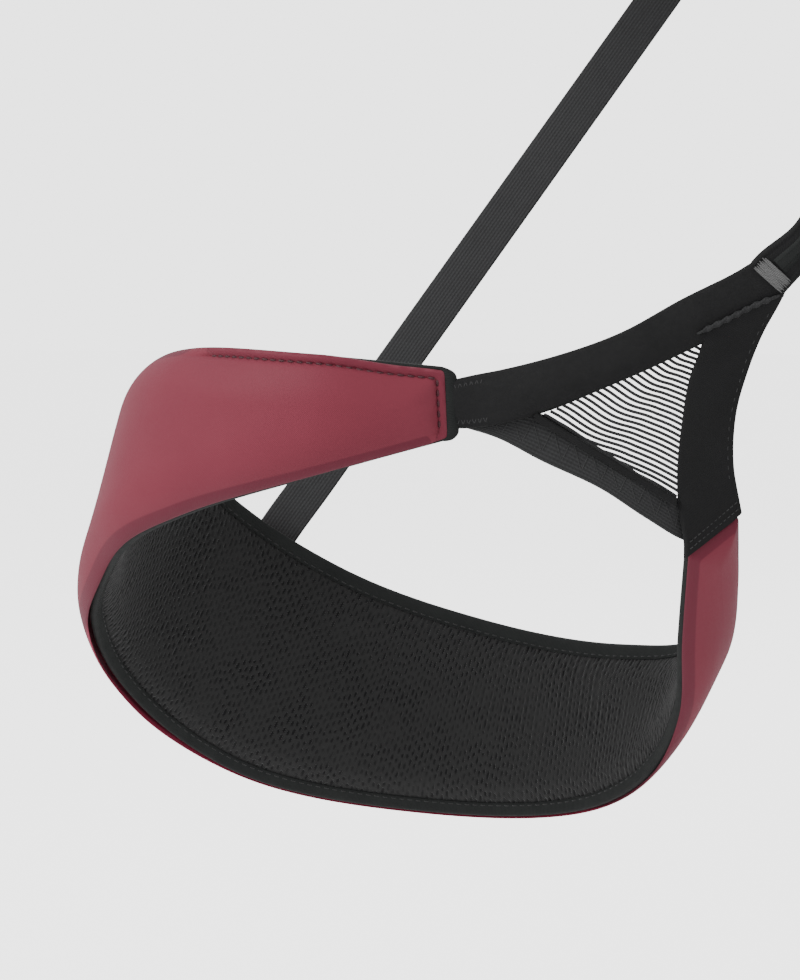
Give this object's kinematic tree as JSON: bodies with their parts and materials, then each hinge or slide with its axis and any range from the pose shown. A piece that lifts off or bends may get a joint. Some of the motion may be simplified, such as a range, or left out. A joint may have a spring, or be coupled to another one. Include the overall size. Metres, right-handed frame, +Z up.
{
  "type": "climbing harness",
  "caption": "Sit harness for rock climbing, with a padded waist belt, tie-in and belay loops, gear loops, padded leg loops with mesh yokes, and elastic rear risers.",
  "frame": {"origin": "centre of the waist opening, midway up the belt's back", "axes": "+Z up as worn, the wearer faces -Y, +X is the wearer's left"},
  "size_m": [0.5216, 0.2692, 0.4565],
  "materials": {
    "shell_fabric": "matte",
    "structural_web": "matte",
    "foam": "matte",
    "spacer_mesh": "matte",
    "binding_tape": "satin",
    "black_webbing": "matte",
    "grey_elastic": "matte",
    "ladder_mesh": "matte",
    "red_webbing": "matte",
    "aluminium": "satin",
    "moulded_plastic": "satin"
  },
  "bodies": {
    "waist_belt": {"waist_shell": "shell_fabric", "waist_core_web": "structural_web", "waist_foam": "foam", "waist_lining": "spacer_mesh", "waist_binding": "binding_tape", "waist_strap": "red_webbing", "buckle_frame": "aluminium", "buckle_anchor": "black_webbing", "strap_keeper": "grey_elastic", "upper_tie_in": "black_webbing", "upper_wear_sleeve": "moulded_plastic", "lower_tie_in": "black_webbing", "lower_wear_sleeve": "moulded_plastic", "haul_tab": "black_webbing", "rear_riser_right": "grey_elastic", "riser_ring_right": "moulded_plastic", "riser_anchor_right": "black_webbing", "gear_tab_front_fore_right": "black_webbing", "gear_tab_front_aft_right": "black_webbing", "gear_tab_rear_fore_right": "black_webbing", "gear_tab_rear_aft_right": "black_webbing", "rear_riser_left": "grey_elastic", "riser_ring_left": "moulded_plastic", "riser_anchor_left": "black_webbing", "gear_tab_front_fore_left": "black_webbing", "gear_tab_front_aft_left": "black_webbing", "gear_tab_rear_fore_left": "black_webbing", "gear_tab_rear_aft_left": "black_webbing"},
    "buckle_slider": {"buckle_slider": "aluminium"},
    "belay_loop": {"belay_loop": "red_webbing"},
    "haul_loop": {"haul_loop": "red_webbing"},
    "leg_loop_right": {"leg_shell_right": "shell_fabric", "leg_core_web_right": "structural_web", "leg_foam_right": "foam", "leg_lining_right": "spacer_mesh", "leg_binding_right": "binding_tape", "yoke_upper_strap_right": "black_webbing", "yoke_side_strap_right": "black_webbing", "yoke_insert_right": "ladder_mesh", "yoke_elastic_right": "grey_elastic", "riser_patch_right": "black_webbing"},
    "riser_keeper_right": {"riser_keeper_right": "moulded_plastic"},
    "gear_loop_front_right": {"gear_loop_front_right": "moulded_plastic"},
    "gear_loop_rear_right": {"gear_loop_rear_right": "moulded_plastic"},
    "leg_loop_left": {"leg_shell_left": "shell_fabric", "leg_core_web_left": "structural_web", "leg_foam_left": "foam", "leg_lining_left": "spacer_mesh", "leg_binding_left": "binding_tape", "yoke_upper_strap_left": "black_webbing", "yoke_side_strap_left": "black_webbing", "yoke_insert_left": "ladder_mesh", "yoke_elastic_left": "grey_elastic", "riser_patch_left": "black_webbing"},
    "riser_keeper_left": {"riser_keeper_left": "moulded_plastic"},
    "gear_loop_front_left": {"gear_loop_front_left": "moulded_plastic"},
    "gear_loop_rear_left": {"gear_loop_rear_left": "moulded_plastic"}
  },
  "joints": [
    {"name": "leg_swing_right", "type": "hinge", "parent": "waist_belt", "child": "leg_loop_right", "pos_m": [0, -0.124, -0.21], "axis": [1, 0, 0], "range_deg": [-15, 25], "stiffness_Nm_per_rad": 0.4, "springref_deg": 5.73, "deforming": ["rear_riser_right"]},
    {"name": "keeper_slide_right", "type": "slide", "parent": "waist_belt", "child": "riser_keeper_right", "axis": [0.5483, 0.2616, 0.7943], "range_m": [0, 0.012]},
    {"name": "gear_loop_front_right_swing", "type": "hinge", "parent": "waist_belt", "child": "gear_loop_front_right", "pos_m": [-0.1403, -0.0415, -0.042], "axis": [-0.4557, 0.8901, 0], "range_deg": [0, 60]},
    {"name": "gear_loop_rear_right_swing", "type": "hinge", "parent": "waist_belt", "child": "gear_loop_rear_right", "pos_m": [-0.1373, 0.0471, -0.042], "axis": [0.5106, 0.8598, 0], "range_deg": [0, 60]},
    {"name": "leg_swing_left", "type": "hinge", "parent": "waist_belt", "child": "leg_loop_left", "pos_m": [0, -0.124, -0.21], "axis": [1, 0, 0], "range_deg": [-15, 25], "stiffness_Nm_per_rad": 0.4, "springref_deg": 5.73, "deforming": ["rear_riser_left"]},
    {"name": "keeper_slide_left", "type": "slide", "parent": "waist_belt", "child": "riser_keeper_left", "axis": [-0.5483, 0.2616, 0.7943], "range_m": [0, 0.012]},
    {"name": "gear_loop_front_left_swing", "type": "hinge", "parent": "waist_belt", "child": "gear_loop_front_left", "pos_m": [0.1403, -0.0415, -0.042], "axis": [-0.4557, -0.8901, 0], "range_deg": [0, 60]},
    {"name": "gear_loop_rear_left_swing", "type": "hinge", "parent": "waist_belt", "child": "gear_loop_rear_left", "pos_m": [0.1373, 0.0471, -0.042], "axis": [0.5106, -0.8598, 0], "range_deg": [0, 60]},
    {"name": "belay_loop_swing", "type": "hinge", "parent": "waist_belt", "child": "belay_loop", "pos_m": [0, -0.1215, -0.07], "axis": [1, 0, 0], "range_deg": [-2, 2]},
    {"name": "slider_tilt", "type": "hinge", "parent": "waist_belt", "child": "buckle_slider", "pos_m": [0.0381, -0.1146, -0.0377], "axis": [0, 0, -1], "range_deg": [0, 40]},
    {"name": "haul_loop_swing", "type": "hinge", "parent": "waist_belt", "child": "haul_loop", "pos_m": [0, 0.1192, -0.026], "axis": [1, 0, 0], "range_deg": [0, 60]}
  ]
}
